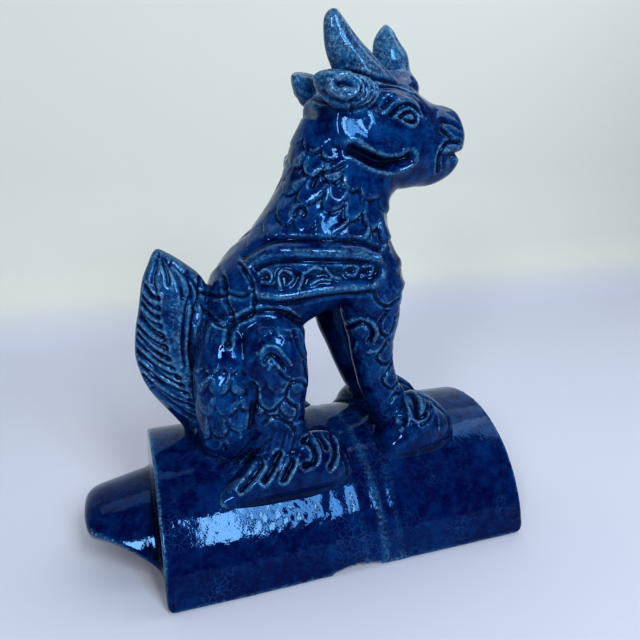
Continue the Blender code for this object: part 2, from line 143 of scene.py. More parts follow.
def loft(clay, stations, fullness=2.0, side=1):
    """Body through stations: x and z of one edge, x and z of the opposite edge, middle y, half width."""
    rings = []
    for ax, az, bx, bz, y, width in through(stations, CURVE_STEPS):
        edge, opposite = place(ax, side * y, az), place(bx, side * y, bz)
        across = Vector((0, max(width, 0.2) * MM, 0))
        rings.append(oval((edge + opposite) / 2, (edge - opposite) / 2, across, fullness))
    skin(clay, rings)


def limb(clay, stations, side=1):
    """Body round a line of stations: x, y, z, half depth along x, half width along y."""
    rings = []
    for x, y, z, depth, width in through(stations, CURVE_STEPS):
        half, across = Vector((depth * MM, 0, 0)), Vector((0, width * MM, 0))
        rings.append(oval(place(x, side * y, z), half, across))
    skin(clay, rings)


def foot(clay, stations, side=1):
    """Body laid on the tile: x, turn in degrees, rise of its middle, half width, half height."""
    rings = []
    for x, turn, rise, width, height in through(stations, CURVE_STEPS):
        angle = math.radians(side * turn)
        outward = Vector((0, -math.sin(angle), math.cos(angle)))
        along_arc = Vector((0, math.cos(angle), math.sin(angle)))
        middle = on_tile(x, side * turn, rise)
        rings.append(oval(middle, outward * height * MM, along_arc * width * MM, FOOT_FULLNESS))
    skin(clay, rings)


def lump(clay, x, y, z, radii, tilt=0.0):
    """Egg-shaped lump, tilted about y in degrees."""
    scale = Matrix.Diagonal((*(r * MM for r in radii), 1))
    turn = Matrix.Rotation(math.radians(tilt), 4, "Y")
    where = Matrix.Translation(place(x, y, z)) @ turn @ scale
    bmesh.ops.create_uvsphere(clay, u_segments=32, v_segments=20, radius=1, matrix=where)


clay = bmesh.new()
loft(  # rump, trunk and neck: back line, then belly, chest and throat
    clay,
    [
        (-68, 52, -28, 50, 0, 22),
        (-70, 66, -24, 64, 0, 28),
        (-71, 88, -22, 86, 0, 31),
        (-68, 110, -18, 107, 0, 32),
        (-63, 130, -10, 118.5, 0, 32),
        (-57, 146, 2, 123.5, 0, 32),
        (-47, 157.5, 17, 124.5, 0, 33),
        (-36, 167.5, 35, 120, 0, 33.5),
        (-29, 176, 46, 130, 0, 32.5),
        (-23, 184.5, 46.5, 143, 0, 30),
        (-18.5, 193, 41, 156, 0, 27.5),
        (-15.5, 202, 37.5, 169, 0, 25.5),
        (-12.5, 212, 39.5, 180, 0, 24),
        (-7, 224, 46, 188, 0, 22),
    ],
    fullness=2.25,
)
loft(  # skull, cheeks and muzzle: crown, then jaw
    clay,
    [
        (-5, 230, 3, 204, 0, 14.5),
        (3, 239, 9, 192, 0, 22.5),
        (14, 243, 20, 187, 0, 25),
        (26, 243.5, 32, 186, 0, 24.5),
        (38, 243, 42, 186, 0, 23.5),
        (48, 240.5, 51, 186.5, 0, 21.5),
        (56, 236.5, 58, 187, 0, 18.5),
        (64, 232, 65, 188, 0, 16),
        (73, 230.5, 72, 190, 0, 14),
        (80, 227.5, 77.5, 193.5, 0, 12.5),
        (84.5, 220, 81, 200, 0, 9),
    ],
    fullness=2.2,
)
loft(  # near horn, swept up and back
    clay,
    [
        (10, 232, 45, 232, -5, 11),
        (8, 240, 41.5, 241, -6, 11),
        (6.5, 246, 35, 247.5, -7, 9.5),
        (3.6, 251.5, 26.5, 254.5, -8, 8),
        (1.8, 257, 19.6, 260.3, -9, 6.6),
        (1, 263, 14, 265.5, -10, 5.2),
        (1.6, 268.5, 9.8, 269.8, -10.5, 3.8),
        (4, 271.9, 8, 272.4, -11, 1.5),
    ],
)
loft(  # far horn
    clay,
    [
        (24, 232, 56, 230, 2, 13),
        (29, 241, 58.8, 239.5, 3, 13),
        (33, 249, 56.5, 248.5, 7, 9.5),
        (35.5, 257, 55, 257, 8, 7.6),
        (36.3, 263, 51, 263.5, 9, 6),
        (38.5, 268, 47.5, 269, 9.5, 4),
        (42.2, 272, 44.6, 272.2, 10, 0.8),
    ],
)
loft(  # tail, in level slices from its root to its tip
    clay,
    [
        (-71, 50, -50, 50, 0, 10),
        (-74, 57, -52, 57, 0, 11),
        (-78.5, 66, -54, 66, 0, 12.5),
        (-85, 75, -55, 75, 0, 13.5),
        (-92, 85, -56, 85, 0, 14.5),
        (-97, 95, -57, 95, 0, 15),
        (-99, 108, -58, 108, 0, 15),
        (-97.5, 122, -58, 122, 0, 14.5),
        (-95, 134, -59, 134, 0, 13),
        (-92.5, 145, -63, 145, 0, 11),
        (-90, 152, -70.5, 152, 0, 8.5),
        (-87.5, 157, -77.5, 157, 0, 5.5),
        (-85, 160, -83, 160, 0, 1.5),
    ],
    fullness=1.8,
)
for side in (-1, 1):
    lump(clay, 38, side * 17, 230, (13, 6, 5), 12)  # brow
    lift = FAR_EAR_LIFT if side > 0 else 0
    ear = [
        (26.5, 233.8, 25.5, 230.5, 18.5, 2),
        (23.5, 237, 22.5, 228.2, 20.5, 5),
        (17, 239.8, 16.5, 226, 22.5, 6.8),
        (8, 242.3, 7.5, 224.6, 24, 7.6),
        (0.5, 243.2, 0.5, 226, 23, 7.5),
        (-4.5, 242.6, -4.3, 231.5, 20.5, 5.8),
        (-7.2, 241, -6.9, 236.5, 18.5, 2.5),
    ]
    loft(clay, [(ax, az + lift, bx, bz + lift, y, width) for ax, az, bx, bz, y, width in ear], side=side)
    limb(  # haunch
        clay,
        [
            (-55, 18, 126, 8, 8),
            (-56, 20, 116, 14, 14),
            (-56, 22, 100, 17, 16.5),
            (-55.5, 22.5, 84, 18, 17),
            (-55, 21.5, 70, 17.5, 15.5),
            (-54, 19, 58, 17, 12.5),
            (-54, 16, 48, 15, 10),
        ],
        side,
    )
    limb(  # thigh and folded shin
        clay,
        [
            (-33.5, 25, 128, 6, 6),
            (-33, 27, 121.5, 15, 13.5),
            (-34.5, 29, 110, 17, 15.5),
            (-34.2, 30, 97, 17, 15.5),
            (-34.5, 31, 84, 15.2, 14),
            (-34, 32, 73, 14.5, 13),
            (-33, 33, 62, 15, 13),
            (-32, 33, 52, 15, 13),
        ],
        side,
    )
    foot(  # hind foot
        clay,
        [
            (-65.5, 45.5, 0, 2.5, 2),
            (-58, 43, 0.5, 6.5, 6),
            (-48, 39.5, 0.5, 11, 11),
            (-32, 36.5, 0.5, 14.5, 15),
            (-16, 35, 0.5, 15.5, 14.5),
            (-5, 34.5, 0, 14, 10.5),
            (2, 35, 0, 9, 4.5),
        ],
        -side,
    )
    near_leg = [
        (22, 17, 136, 19, 14),
        (23.5, 17, 122, 16.5, 13),
        (24, 16.5, 109, 13.3, 12),
        (25, 16.5, 96, 11.6, 11),
        (27.5, 17, 84, 11.4, 11.2),
        (31, 18.5, 74, 11.5, 12),
        (34.5, 20, 64, 11.5, 13),
        (37, 20, 53, 11, 12),
    ]
    far_leg = [
        (22, 17, 136, 20, 14),
        (20, 17, 122, 18.5, 13),
        (20, 16.5, 109, 15, 12),
        (22.5, 16.5, 98, 13, 11),
        (26.5, 17, 86, 12, 11),
        (31.5, 18.5, 74, 11.2, 12),
        (36.5, 20, 64, 10.8, 12.5),
        (39, 20, 53, 10.5, 12),
    ]
    lump(clay, 22, side * 19, 136, (19, 14, 20))  # shoulder
    limb(clay, far_leg if side > 0 else near_leg, side)
    foot(  # forepaw
        clay,
        [
            (21.5, 31, -1, 5, 2.5),
            (25, 29, 0, 11, 6.5),
            (30, 26.5, 0, 15, 11),
            (36, 24.8, 0, 17, 15.5),
            (45, 23.5, 0, 18, 20.5),
            (51, 22.5, 0, 18.5, 18.5),
            (59, 22, 0, 17, 13),
            (65.5, 21, 0, 12.5, 7.5),
            (69, 20.5, 0, 5, 3),
        ],
        -side,
    )


def as_object(name, clay):
    """Object made from a bmesh, which it uses up."""
    mesh = bpy.data.meshes.new(name)
    clay.to_mesh(mesh)
    clay.free()
    made = bpy.data.objects.new(name, mesh)
    bpy.context.scene.collection.objects.link(made)
    return made


def settle(made):
    """Turns what an object's modifiers give into its own plain mesh."""
    graph = bpy.context.evaluated_depsgraph_get()
    made.data = bpy.data.meshes.new_from_object(made.evaluated_get(graph))
    made.modifiers.clear()


def fuse(made, grain, rounds):
    """One closed skin over overlapping bodies, with its creases softened."""
    remesh = made.modifiers.new("one skin", "REMESH")
    remesh.mode = "VOXEL"
    remesh.voxel_size = grain * MM
    smooth = made.modifiers.new("softened", "SMOOTH")
    smooth.factor = 0.5
    smooth.iterations = rounds
    settle(made)


def read_mesh(mesh):
    """Points in millimetres from the tile's middle, and the normals."""
    flat = np.empty(len(mesh.vertices) * 3)
    mesh.vertices.foreach_get("co", flat)
    points = flat.reshape(-1, 3) / MM - (TILE_MIDDLE / MM, 0, 0)
    mesh.vertices.foreach_get("normal", flat)
    return points, flat.reshape(-1, 3).copy()


def write_mesh(mesh, points):
    """Puts points in millimetres back."""
    mesh.vertices.foreach_set("co", ((points + (TILE_MIDDLE / MM, 0, 0)) * MM).ravel())
    mesh.update()


def distances(seen, path):
    """Distance of each point to a path in the same plane."""
    nearest = np.full(len(seen), np.inf)
    for start, end in zip(path, path[1:]):
        run = end - start
        share = np.clip((seen - start) @ run / max(run @ run, 1e-9), 0, 1)
        nearest = np.minimum(nearest, np.linalg.norm(seen - start - share[:, None] * run, axis=1))
    return nearest


def region(seen, outline, blur):
    """1 inside an outline, 0 outside, softened over the blur."""
    outline = np.array(outline, float)
    inside = np.zeros(len(seen), bool)
    for (ax, az), (bx, bz) in zip(outline, np.roll(outline, -1, axis=0)):
        crossing = (az > seen[:, 1]) != (bz > seen[:, 1])
        with np.errstate(divide="ignore", invalid="ignore"):
            inside ^= crossing & (seen[:, 0] < (bx - ax) * (seen[:, 1] - az) / (bz - az) + ax)
    gap = distances(seen, np.vstack([outline, outline[:1]]))
    return np.clip(0.5 + np.where(inside, gap, -gap) / blur, 0, 1)


def scales(across, down, wide, long):
    """Height of overlapping scales, in millimetres, each with a raised rim over a cut groove."""
    drop = 0.62 * long

    def rim(row):
        share = np.mod(across / wide + 0.5 * np.mod(row, 2), 1) * 2 - 1
        reach = np.sqrt(np.clip(1 - share**2, 0.03, 1))
        slope = np.minimum(drop * np.abs(share) / reach * 2 / wide, 2)
        return row * long + drop * reach, 1 / np.sqrt(1 + slope**2)

    row = np.floor(down / long)
    here, lean_here = rim(row)
    above, lean_above = rim(row - 1)
    below, lean_below = rim(row + 1)
    upper = down < here
    to_rim = np.where(upper, (here - down) * lean_here, (below - down) * lean_below)
    from_rim = np.where(upper, (down - above) * lean_above, (down - here) * lean_here)
    own_row = np.where(upper, row, row + 1)
    column = np.floor(across / wide + 0.5 * np.mod(own_row, 2))
    chance = np.mod(np.sin(own_row * 12.9 + column * 78.2) * 437.5, 1)
    aside = np.mod(across / wide + 0.5 * np.mod(own_row, 2), 1) * 2 - 1
    body = (0.6 + 0.9 * chance) * np.exp(-(((to_rim - 3.6) / 2.8) ** 2)) * (1 + (chance - 0.5) * aside)
    rim_roll = 0.42 * np.exp(-(((to_rim - 1.0) / 1.0) ** 2))
    return body + rim_roll - (0.5 + 0.5 * chance) * np.exp(-(((from_rim - 0.4) / 1.2) ** 2))


beast = as_object("seated_beast", clay)
fuse(beast, BEAST_GRAIN, BEAST_SOFTENING)
points, normals = read_mesh(beast.data)
x, y, z = points.T
flank = np.column_stack([x, z])
height = np.zeros(len(points))


def mark(path, half_width, depth, facing):
    """Draws a tool along a path. A groove pushes up two low lips, and a depth under 0 is a laid-on roll."""
    curve = np.array(through(path, 4))
    low, high = curve.min(0) - 4 * half_width, curve.max(0) + 4 * half_width
    met = np.flatnonzero((facing > 0) & (flank > low).all(1) & (flank < high).all(1))
    off = distances(flank[met], curve) / half_width
    cut = np.exp(-(off**2))
    if depth > 0:
        cut -= LIP_SHARE * np.exp(-(((off - 1.9) / 0.7) ** 2))
    height[met] -= depth * facing[met] * cut


def shifted(path, across, up):
    """The same path moved in its plane."""
    return [(px + across, pz + up) for px, pz in path]


# Each mark is a path of x and z, half the tool's width, and its depth.
face = [
    ([(11, 206.5), (17, 203.4), (25, 200.3), (31, 199.3), (38, 199.8), (43, 201.8)], 2.5, 4.4),
    ([(9.5, 203.3), (16, 199.4), (24, 196), (31, 195), (38.5, 195.6), (45, 198.7)], 1.1, -0.6),
    ([(10, 209.5), (18, 206.8), (26, 204), (33, 203.6), (41, 206.8)], 1.0, -0.4),
    ([(77, 210.5), (72, 210.8), (67.5, 209.3), (64.2, 205.7), (63.2, 201), (64.5, 196)], 1.1, 1.7),
    ([(66, 212), (62, 207), (60.8, 201), (62, 195.5)], 1.1, -0.6),
    ([(69.5, 206), (69.5, 200)], 2.4, -0.9),
    ([(64.5, 217), (68, 215.3), (71.5, 212.8)], 1.0, 1.9),
    ([(66, 221), (72, 220), (78, 217.5)], 1.2, 0.7),
    ([(41, 222.5), (43, 222.6)], 6.5, 1.0),
    ([(27.6, 223.5), (33.3, 228.5), (38.6, 230.8), (43.9, 229.3), (48.2, 226.9), (50.2, 222.7)], 1.0, -0.9),
    ([(31, 222.5), (36, 226.5), (42, 228.3), (46.8, 226.4), (49.2, 222.8)], 0.8, 1.1),
    ([(33.3, 221.9), (37.2, 224.4), (42, 226.3), (46.1, 225), (47.9, 222.5)], 0.8, -1.0),
    ([(47.9, 222.5), (47.1, 219.5), (44.4, 217.6), (40.1, 219), (35.3, 220.9), (33.3, 221.9)], 0.9, -1.0),
    ([(36.5, 222), (40, 224.3), (44, 224.2), (46, 221.8), (43.5, 219.6), (39.5, 220.5)], 0.8, 1.5),
    ([(41.6, 222.3), (42.6, 222.3)], 2.0, -2.2),
    ([(27, 226.5), (32, 231.5), (38.3, 233.8), (44.8, 232.3), (50.4, 228.8), (53, 223)], 1.0, 0.5),
    ([(1, 225), (0, 216), (2, 209), (8, 205)], 1.8, 0.5),
    ([(11, 243.9), (18.6, 242.3), (26, 240.5), (37, 239), (48, 236.5)], 1.1, 1.3),
    ([(20, 239.6), (28, 238), (37, 236.6), (46, 234.2)], 1.1, -0.6),
]
band = [
    (
        [(-43, 151.5), (-37, 156), (-29, 159), (-21, 158.8), (-7, 158), (4, 157), (13, 155.5), (20, 153)],
        3.0,
        -2.6,
    ),
    ([(-44, 155.5), (-36, 161), (-28, 164), (-16, 164), (0, 163), (12, 161.5), (23, 157)], 1.3, 1.3),
    ([(-39, 151), (-34, 153.5), (-26, 154.6), (-14, 154), (-4, 153.3), (6, 152.6), (15, 151)], 1.1, 1.7),
    ([(20, 153), (24, 148.5), (23, 143.5), (18, 140.5)], 2.6, -1.8),
    (
        [(18, 140.5), (10, 139.8), (2, 140.4), (-8, 140)]
        + [(-16, 139.2), (-24, 138.3), (-33, 138), (-42, 140)],
        2.6,
        -2.2,
    ),
    ([(-42, 135.5), (-30, 134), (-20, 134.6), (-8, 136), (4, 136.2), (16, 136.5)], 1.2, 0.9),
    ([(-36, 146), (-20, 147), (0, 147.5), (14, 147)], 4.6, 1.3),
    ([(-39.5, 148), (-36.6, 150.5), (-33.7, 148.5), (-34.9, 144.9), (-38.5, 145)], 1.0, -1.4),
    ([(-30.2, 142.5), (-30.6, 147.6), (-28.3, 150), (-25, 149)], 1.0, -1.7),
    ([(-26, 143.5), (-23.5, 146), (-24.5, 148.5)], 1.0, -1.0),
    ([(-21.4, 141.6), (-19.4, 145), (-18.4, 148.5)], 1.0, -1.7),
    ([(-17, 148.5), (-13.5, 150.6), (-9.4, 149.8)], 0.9, -1.3),
    ([(-15, 143), (-10.2, 144.8), (-5, 144.4)], 0.9, -1.3),
    ([(-7, 149.5), (-4, 146), (0, 144.6)], 0.9, -1.3),
    ([(2, 149.5), (6, 151), (10, 149), (8, 145.8), (4, 146.2)], 0.9, -1.3),
    ([(14, 150), (18, 149), (17, 145.2), (13, 145)], 0.9, -1.1),
]
coat = [
    ([(-55, 151), (-54.5, 143), (-55, 136), (-53, 129.5)], 0.9, 1.3),
    ([(-65, 145), (-66, 137), (-64.5, 130), (-60.5, 125.5)], 0.9, 1.3),
    ([(-66, 138.5), (-60, 136.5), (-55.5, 138)], 0.9, 1.2),
    ([(-60.5, 125.5), (-57, 124.5), (-53, 127.5)], 0.9, 1.2),
    ([(-53.5, 139), (-48, 138), (-43, 141)], 0.9, 1.0),
    ([(-46, 152), (-43.5, 146), (-42.5, 140), (-44, 130), (-50, 127)], 0.9, 1.2),
    ([(-57, 117), (-54.5, 123.5), (-48, 129), (-38, 131), (-28, 129), (-20, 122), (-17, 111)], 1.3, 1.6),
    ([(-53, 126.5), (-46.5, 132.5), (-38, 134.5), (-27, 132.5)], 1.2, -0.5),
    ([(-47.5, 98), (-46.7, 92), (-48, 83.5), (-49.5, 75)], 1.1, 1.3),
    ([(-46, 97), (-46, 89), (-43, 85), (-39, 85), (-36, 88), (-33, 90), (-30, 87), (-27, 85)], 0.8, 1.0),
    ([(-27, 85), (-27, 80), (-31, 77)], 0.8, 0.9),
    ([(-33, 90), (-32, 95), (-28.5, 98), (-24, 97), (-21, 93)], 0.8, 0.9),
    ([(-44, 78), (-39.5, 82), (-35, 80), (-31, 77), (-28, 72)], 0.8, 0.9),
    ([(-36, 105), (-33, 101), (-28.5, 98)], 0.8, 0.7),
    ([(-44, 113), (-40, 116.5), (-35.5, 115.5), (-31.5, 110), (-29.5, 107)], 1.0, -1.1),
    ([(-42.5, 109.5), (-39.5, 112.6), (-36, 110.8), (-33, 106)], 0.9, 1.2),
    ([(-40.5, 106), (-38, 108.4), (-35.5, 106)], 0.9, -0.8),
    ([(-26, 121), (-24.5, 114), (-21, 108)], 0.9, 0.7),
    ([(8, 119), (13, 122), (18.5, 120.5), (22, 115), (20.5, 108)], 1.1, -1.1),
    ([(9.5, 115.5), (13.2, 119), (17.5, 117.8), (19.4, 113.5), (18.4, 109)], 0.9, 1.3),
    ([(28, 125), (23.6, 119), (25, 113), (29, 111), (32, 115), (33, 120.5)], 0.8, 1.1),
    ([(29.5, 109), (25.5, 103.5), (22.5, 99.5)], 0.8, 1.0),
    ([(22.5, 99.5), (26, 95.5), (31.5, 96), (35, 100)], 0.8, 0.9),
    ([(33, 95), (29, 90.5), (26, 86), (31, 81), (37, 83)], 0.8, 0.9),
    ([(18, 103), (23, 104), (26, 109)], 0.9, -0.7),
    ([(18, 137), (21, 131), (27, 128), (34, 131)], 0.8, 1.0),
    ([(-19, 175), (-17, 178), (-15, 179), (-14, 177), (-15, 175)], 0.9, 1.2),
    ([(-9.5, 189), (-6, 195), (0, 196), (6, 199)], 0.9, 1.1),
]
hind_foot = [
    ([(-57.1, 48.9), (-51.9, 53.4), (-46.2, 58.6)], 1.2, 2.0),
    ([(-62.5, 46.9), (-53.2, 54.2), (-42.1, 64.1)], 0.7, -0.6),
    ([(-57.9, 46.4), (-52.4, 51.6), (-47.6, 56)], 0.7, -0.5),
    ([(-46, 52.6), (-41.7, 57.5), (-37.2, 62.5)], 1.3, 2.3),
    ([(-44.7, 51.2), (-39.2, 57), (-34.4, 62.6)], 0.7, -0.6),
    ([(-36.8, 52.1), (-34.5, 55.5), (-31.5, 58.9)], 1.3, 2.3),
    ([(-35.4, 50.8), (-31.8, 55.6), (-27.5, 61.1)], 0.7, -0.6),
    ([(-60, 49.5), (-49.5, 59.5), (-41, 70)], 0.7, 0.5),
    ([(-63, 51), (-54, 60), (-45, 72)], 0.7, 0.45),
    ([(-42.1, 64.1), (-40.5, 69.5), (-38.5, 76)], 0.7, 0.5),
    ([(-37.2, 62.5), (-35.2, 67.5), (-33.5, 73)], 0.7, 0.5),
    ([(-31.5, 60.5), (-30, 66), (-28, 71)], 0.7, 0.5),
    ([(-24, 66), (-20.7, 64.6), (-19.2, 60.8), (-21, 57.5), (-25.7, 56.8)], 1.2, 2.1),
    ([(-22, 68), (-17.8, 65.8), (-16.6, 61), (-18, 56.5)], 0.9, -0.6),
    ([(-17, 67.5), (-13.4, 65.5), (-12.3, 61.5)], 1.0, 1.6),
    ([(-11.5, 66.5), (-7, 62), (-8.3, 57.4), (-12.3, 53.4)], 1.2, 2.0),
    ([(-8.6, 66.5), (-4.4, 61.5), (-5.6, 56.5), (-9.5, 52)], 0.9, -0.5),
    ([(-4.7, 57), (-2.1, 51.8), (-1.9, 46)], 0.9, 0.8),
    ([(-30, 77), (-24, 78), (-18, 74), (-12, 70)], 1.0, 0.6),
]
forepaw = [
    ([(42, 77), (43, 74.8), (41.3, 71.3), (41.4, 67.8), (44.9, 68.4), (48.9, 70.8)], 1.3, 1.9),
    ([(40.3, 80), (39.8, 75.9), (39, 71.9), (38.2, 67)], 1.0, -0.9),
    ([(45.6, 77.5), (46.1, 75.3), (45.2, 72.6), (44, 70)], 0.9, -0.9),
    ([(51.5, 70), (47.5, 66.4), (42.3, 64.6)], 0.9, 1.1),
    ([(31.5, 64.5), (34, 68), (37, 68.8), (37, 66.1), (34.3, 63.4), (31.5, 61)], 0.9, -0.9),
    ([(33.5, 66), (35.2, 65.6), (33.6, 63.4)], 0.8, 0.9),
    ([(53.5, 72), (53, 69), (53.6, 64.4), (53, 59)], 0.9, -0.8),
    ([(30, 75), (33, 78), (37, 77)], 0.8, 0.8),
]
rib_edge = [(-86, 137), (-87, 128), (-85.6, 119), (-83.5, 107)]
rib_edge += [(-79.5, 97), (-76, 88), (-72.5, 80), (-69, 72)]
margin = [(-92.5, 144), (-96, 137), (-98, 131), (-99.5, 122)]
margin += [(-99.5, 114), (-98.5, 106), (-96, 98), (-92, 90)]
plume = [
    ([(-78.5, 140), (-78.8, 128), (-78, 117), (-76.5, 105), (-72, 93), (-67.5, 81)], 6.0, -0.9),
    (rib_edge, 1.0, 0.6),
    ([(-67.3, 134.6), (-70.5, 126), (-72, 118), (-73.1, 110.9), (-72.5, 100.6)], 1.1, 1.4),
    ([(-71.5, 137), (-75, 126), (-76.5, 114), (-76, 103)], 0.9, 0.9),
    ([(-84.4, 159), (-85.6, 153), (-87.8, 145.6), (-86, 137)], 0.9, 1.1),
    ([(-83.7, 157.7), (-81, 150), (-80.6, 144)], 0.9, 1.1),
    ([(-81.8, 157), (-76, 146), (-74.6, 136.6)], 0.9, 1.1),
    ([(-78.2, 154), (-71, 145), (-69.7, 131)], 0.9, 1.1),
    ([(-71, 148.4), (-66.8, 139), (-69, 124)], 0.9, 1.1),
]
VEIN_DEPTHS = (1.6, 0.9, 1.3, 1.1, 1.5, 0.8)
VEIN_SLIPS = (0.4, -0.9, 0.7, -0.3, 1.0, -0.6, 0.1)
for i, (root, end) in enumerate(zip(through(rib_edge, 2), through(margin, 2))):
    slip = VEIN_SLIPS[i % 7]
    sagged = (root + end) / 2 + (0.6, -2.4 + 0.5 * slip)
    vein = [(root[0] - 0.5 * slip, root[1]), tuple(sagged), (end[0], end[1] + slip)]
    plume.append((vein, 1.0, VEIN_DEPTHS[i % 6]))
    plume.append((shifted(vein, 0.2, 2.2), 1.1, -0.5))
for side in (-1, 1):
    lift = FAR_EAR_LIFT if side > 0 else 0
    ear = [
        ([(1.5, 235.6), (4.5, 236.4), (7.5, 236)], 1.7, 3.8),
        ([(-3, 237.5), (-1, 232), (4, 230), (9.5, 231.2), (11.6, 235)], 1.1, -0.9),
        ([(-4.5, 233), (-1, 229), (4.5, 227.2), (10.5, 228.3)], 0.9, 0.9),
        ([(-3, 240.2), (3, 240.4), (8, 239.6)], 1.1, -0.7),
    ]
    for i in range(4):
        turns = [1.15 - 0.4 * k for k in range(7)]
        wide, high = 7.4 + 3.3 * i, 6 + 1.3 * i
        fold = [(4.6 + wide * math.cos(t), 233.8 + high * math.sin(t)) for t in turns]
        ear.append((fold, 0.8, 1.2))
        ear.append((shifted(fold, 1.7, 0), 0.8, -0.6))
    ear = [(shifted(path, 0, lift), half_width, depth) for path, half_width, depth in ear]
    facing = np.clip(3 * side * normals[:, 1], 0, 1) * (side * y > 3)
    for path, half_width, depth in face + ear + band + coat + hind_foot + forepaw:
        mark(path, half_width, depth, facing)
    for path, half_width, depth in plume:
        mark(path, half_width, depth, facing * (side * y < 20))

# The gaps between the toes are cut from above, and the line between the lips from the front.
above = np.clip(3 * normals[:, 2], 0, 1)
front = np.clip(3 * normals[:, 0], 0, 1)
plan = np.column_stack([x, y])
for side in (-1, 1):
    for toe in TOE_GAPS:
        groove = np.array([(49, side * toe), (58, side * toe * 1.03), (69, side * toe)], float)
        height -= TOE_GAP_DEPTH * above * (z < 90) * np.exp(-((distances(plan, groove) / 1.6) ** 2))
lips = np.array([(-13, 204), (0, 204.5), (13, 204)], float)
height -= LIP_LINE_DEPTH * front * (x > 60) * np.exp(-((distances(points[:, 1:], lips) / 1.8) ** 2))

# The scales: each coat has its outline on the flank, its directions across and down, the width and length of
# a scale, and its strength. The rows wander as a hand cuts them, and the coat fades on the inner sides.
wander_across = 2 * np.sin(z / 13 + 1.1) + 1.4 * np.sin(x / 8 + z / 17)
wander_across += 0.8 * np.sin(z / 5.3 + x / 6.1 + 2)
wander_down = 1.8 * np.sin(x / 10 + 0.7) + 1.3 * np.sin(z / 7 + x / 15)
wander_down += 0.7 * np.sin(x / 4.7 - z / 6.3)
patchy = np.clip(0.68 + 0.25 * np.sin(x / 9 + z / 14 + 0.5) + 0.25 * np.sin(z / 8 - x / 17 + 2), 0.3, 1)
side_on = np.clip(2.4 * np.abs(normals[:, 1]) - 0.3, 0.25, 1)
outer = np.clip(3 * normals[:, 1] * np.sign(y) + 0.7, 0.1, 1)
around = x + 0.54 * np.abs(y)
lean = math.radians(24)
neck_across = around * math.cos(lean) - z * math.sin(lean)
neck_down = -z * math.cos(lean) - around * math.sin(lean)
neck = [(-22, 214), (-8, 212), (2, 200), (9, 190), (36, 181), (60, 165), (60, 120)]
neck += [(40, 136), (25, 157), (12, 164), (-10, 167), (-28, 167), (-44, 158), (-60, 165)]
rump = [(-72, 118), (-66, 150), (-56, 158), (-55, 128), (-60, 124), (-60, 116)]
haunch = [(-78, 102), (-60, 106), (-50.5, 104), (-50.5, 98), (-51, 76), (-60, 62), (-76, 64)]
thigh = [(-47, 118), (-40, 126), (-30, 124), (-22, 116), (-12, 100), (-12, 70), (-46, 80), (-48, 97)]
foreleg = [(8, 134), (20, 140), (40, 136), (60, 130), (60, 92), (42, 82), (20, 84), (10, 100), (4, 110)]
coats = [
    (neck, neck_across, neck_down, 12.5, 11.5, 1.35),
    (rump, around + 2, -z, 11, 13.5, 0.35),
    (haunch, around + 1, -z, 10.5, 11, 1.1),
    (thigh, around + 3, -z + 2, 12.5, 12.5, 0.65),
    (foreleg, around + 4, -z, 10.5, 13, 0.5),
]
for outline, across, down, wide, long, strength in coats:
    share = region(flank, outline, 5) * patchy * side_on * outer * strength
    height += share * scales(across + wander_across, down + wander_down, wide, long)

# The hand leaves the clay a little uneven, the slip leaves a fillet round the feet, and the cheeks are
# pressed flat.
hand_waves = np.zeros(len(points))
HAND_WAVES = [(0.31, 0.22, 0.17, 0.3), (0.12, 0.35, 0.29, 1.7)]
HAND_WAVES += [(0.21, 0.13, 0.41, 4.1), (0.43, 0.37, 0.19, 2.2)]
for k, (along, across, up, phase) in enumerate(HAND_WAVES):
    hand_waves += np.sin(along * x + across * y + up * z + phase) / (2 + k)
height += UNEVENNESS * hand_waves

reach = np.hypot(y / TILE_HALF_WIDTH, z / TILE_CROWN)
over_tile = (reach - 1) * TILE_CROWN
height += SLIP_FILLET * np.exp(-((over_tile / 2.2) ** 2))
points = points + normals * height[:, None]
cheek = 0.85 * np.exp(-(((x - 10.5) / 10) ** 4) - ((z - 216.5) / 7.5) ** 4) * (np.abs(y) > 12)
sloped = np.sign(y) * (23.8 - 0.21 * (z - 210.5) + 0.1 * (x - 3.5))
points[:, 1] += (sloped - y) * cheek
reach = np.hypot(points[:, 1] / TILE_HALF_WIDTH, points[:, 2] / TILE_CROWN)
seat = 1 - SEAT_DEPTH / TILE_CROWN
sunk = reach < seat
points[sunk, 1:] *= (seat / reach[sunk])[:, None]
write_mesh(beast.data, points)


EDGE_ROUNDS = 4
BODY_ROUNDS = 14
THINNEST = 1.5


